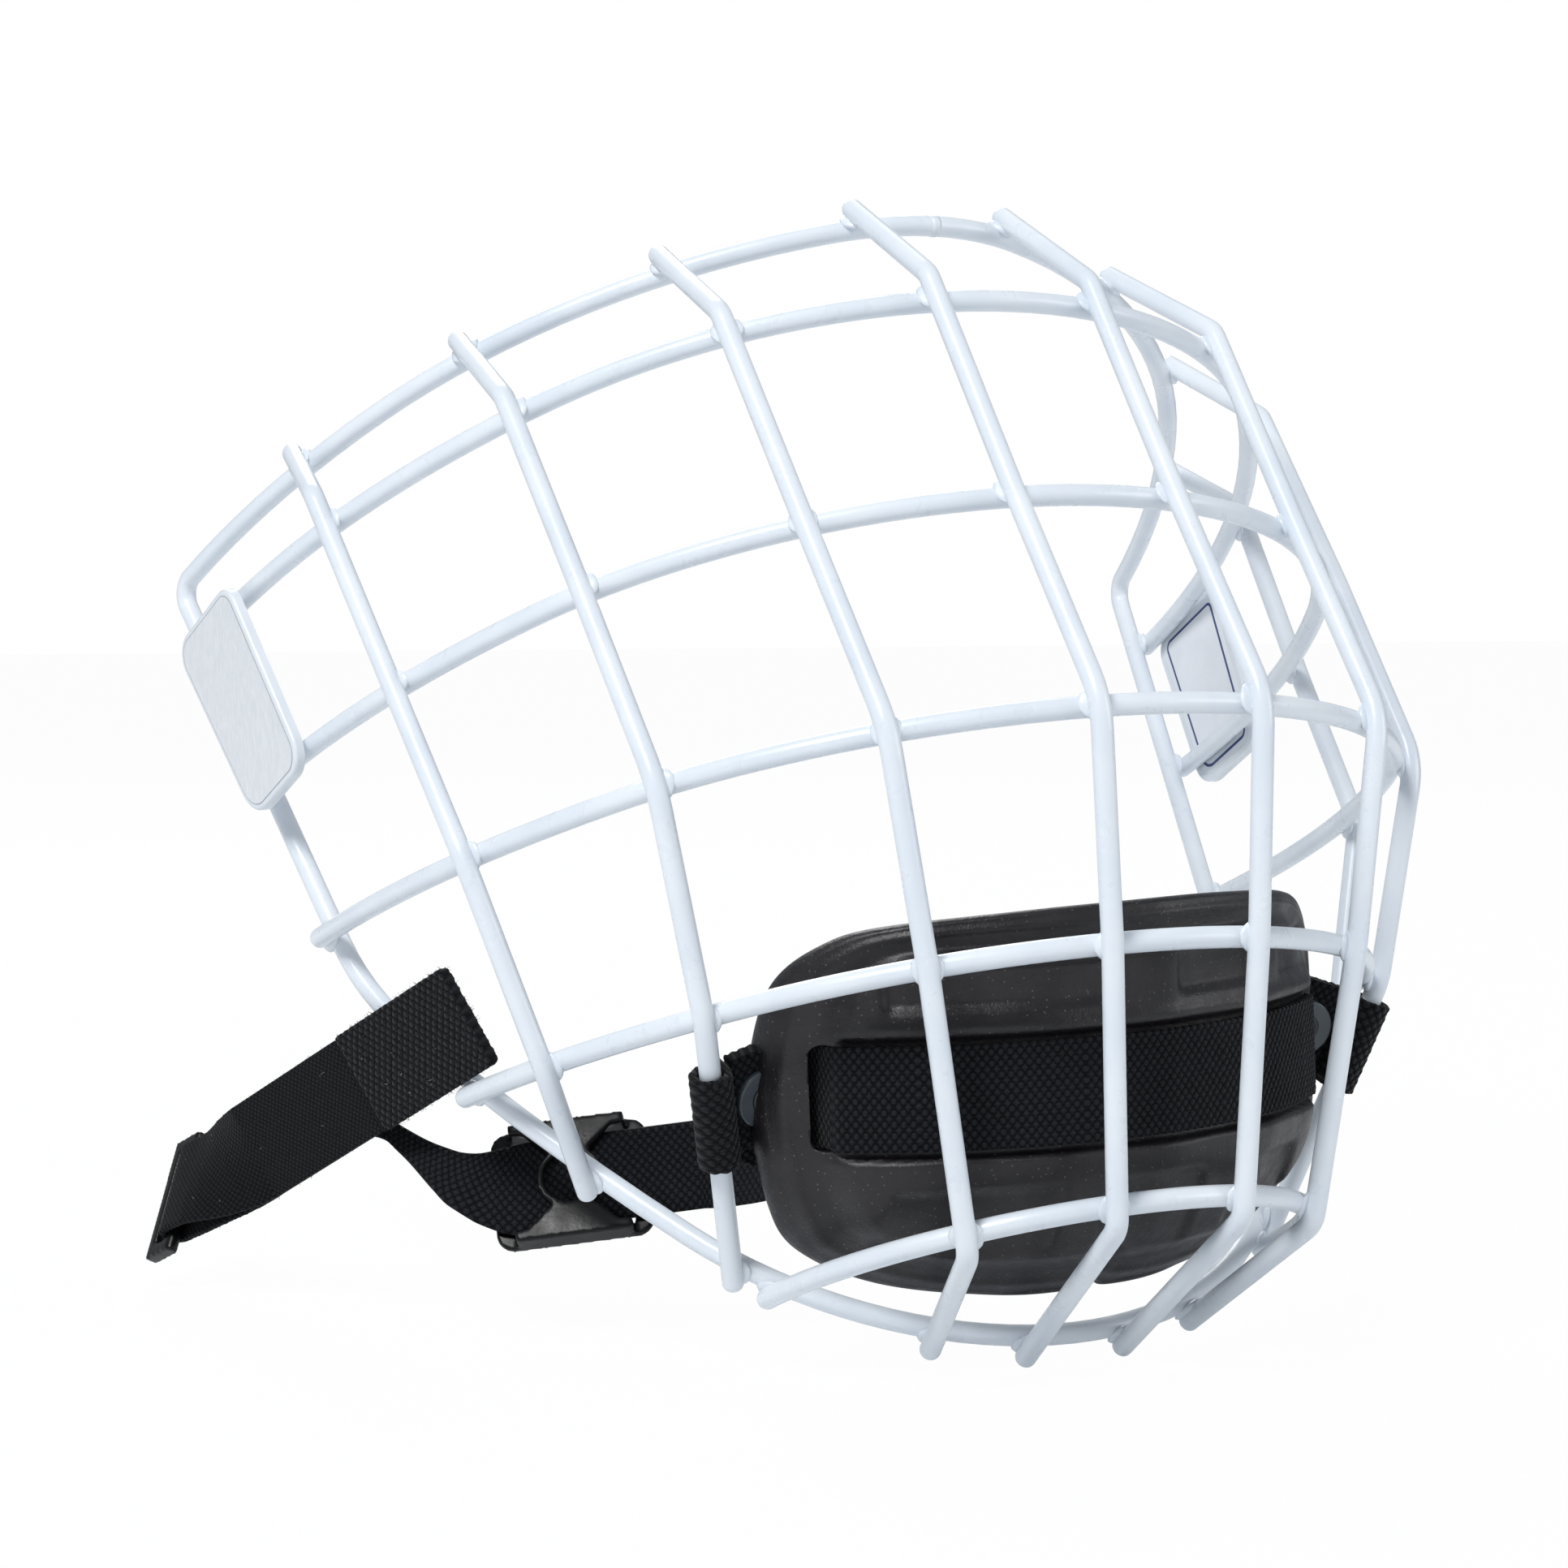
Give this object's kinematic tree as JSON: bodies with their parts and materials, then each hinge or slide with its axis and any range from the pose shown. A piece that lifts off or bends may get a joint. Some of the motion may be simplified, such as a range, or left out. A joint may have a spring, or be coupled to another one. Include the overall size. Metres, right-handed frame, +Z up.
{
  "type": "goalie mask",
  "caption": "Welded wire face cage with rim, cross bars, uprights and side plates, a moulded chin cup on webbing and a side strap with slider, elastic band, hook tab and end loop.",
  "frame": {"origin": "The middle of the brow wire's centre line, where the helmet carries the cage.", "axes": "+X is the wearer's left, +Y runs from the front of the mask to its back, +Z is up."},
  "size_m": [0.2118, 0.1723, 0.1855],
  "materials": {
    "white_wire": "semi_gloss",
    "white_plate": "semi_gloss",
    "charcoal_foam": "matte",
    "black_webbing": "matte",
    "snap_plastic": "semi_gloss",
    "black_plastic": "semi_gloss"
  },
  "bodies": {
    "cage": {"rim": "white_wire", "horizontal_bar_1": "white_wire", "horizontal_bar_2": "white_wire", "horizontal_bar_3": "white_wire", "horizontal_bar_4": "white_wire", "horizontal_bar_5": "white_wire", "vertical_bar_1": "white_wire", "vertical_bar_2": "white_wire", "vertical_bar_3": "white_wire", "vertical_bar_4": "white_wire", "vertical_bar_5": "white_wire", "vertical_bar_6": "white_wire", "vertical_bar_7": "white_wire", "vertical_bar_8": "white_wire", "side_plate_right": "white_plate", "side_plate_left": "white_plate", "chin_loop_right": "black_webbing", "chin_loop_left": "black_webbing"},
    "chin": {"chin_cup": "charcoal_foam", "chin_webbing": "black_webbing", "snap_cap_right": "snap_plastic", "snap_cap_left": "snap_plastic"},
    "strap": {"strap_webbing": "black_webbing", "elastic_band": "black_webbing"},
    "slider": {"slider_buckle": "black_plastic"},
    "tab": {"hook_tab": "black_webbing"},
    "ring": {"end_loop": "black_plastic"}
  },
  "joints": [
    {"name": "cup_nod", "type": "hinge", "parent": "cage", "child": "chin", "pos_m": [0.00071, -0.03356, -0.13624], "axis": [0.9989, -0.01, 0.0459], "range_deg": [-6, 6]},
    {"name": "strap_swing", "type": "hinge", "parent": "cage", "child": "strap", "pos_m": [-0.04012, -0.02782, -0.14308], "axis": [0.2433, -0.2589, 0.9348], "range_deg": [0, 15]},
    {"name": "slider_slide", "type": "slide", "parent": "strap", "child": "slider", "axis": [-0.8758, 0.4652, -0.1289], "range_m": [-0.006, 0.004]},
    {"name": "tab_peel", "type": "hinge", "parent": "strap", "child": "tab", "pos_m": [-0.08753, 0.0351, -0.14129], "axis": [0.377, -0.336, -0.8631], "range_deg": [0, 70]},
    {"name": "ring_pivot", "type": "hinge", "parent": "strap", "child": "ring", "pos_m": [-0.102, 0.0835, -0.1656], "axis": [0.408, 0.4231, 0.809], "range_deg": [-40, 40]}
  ]
}
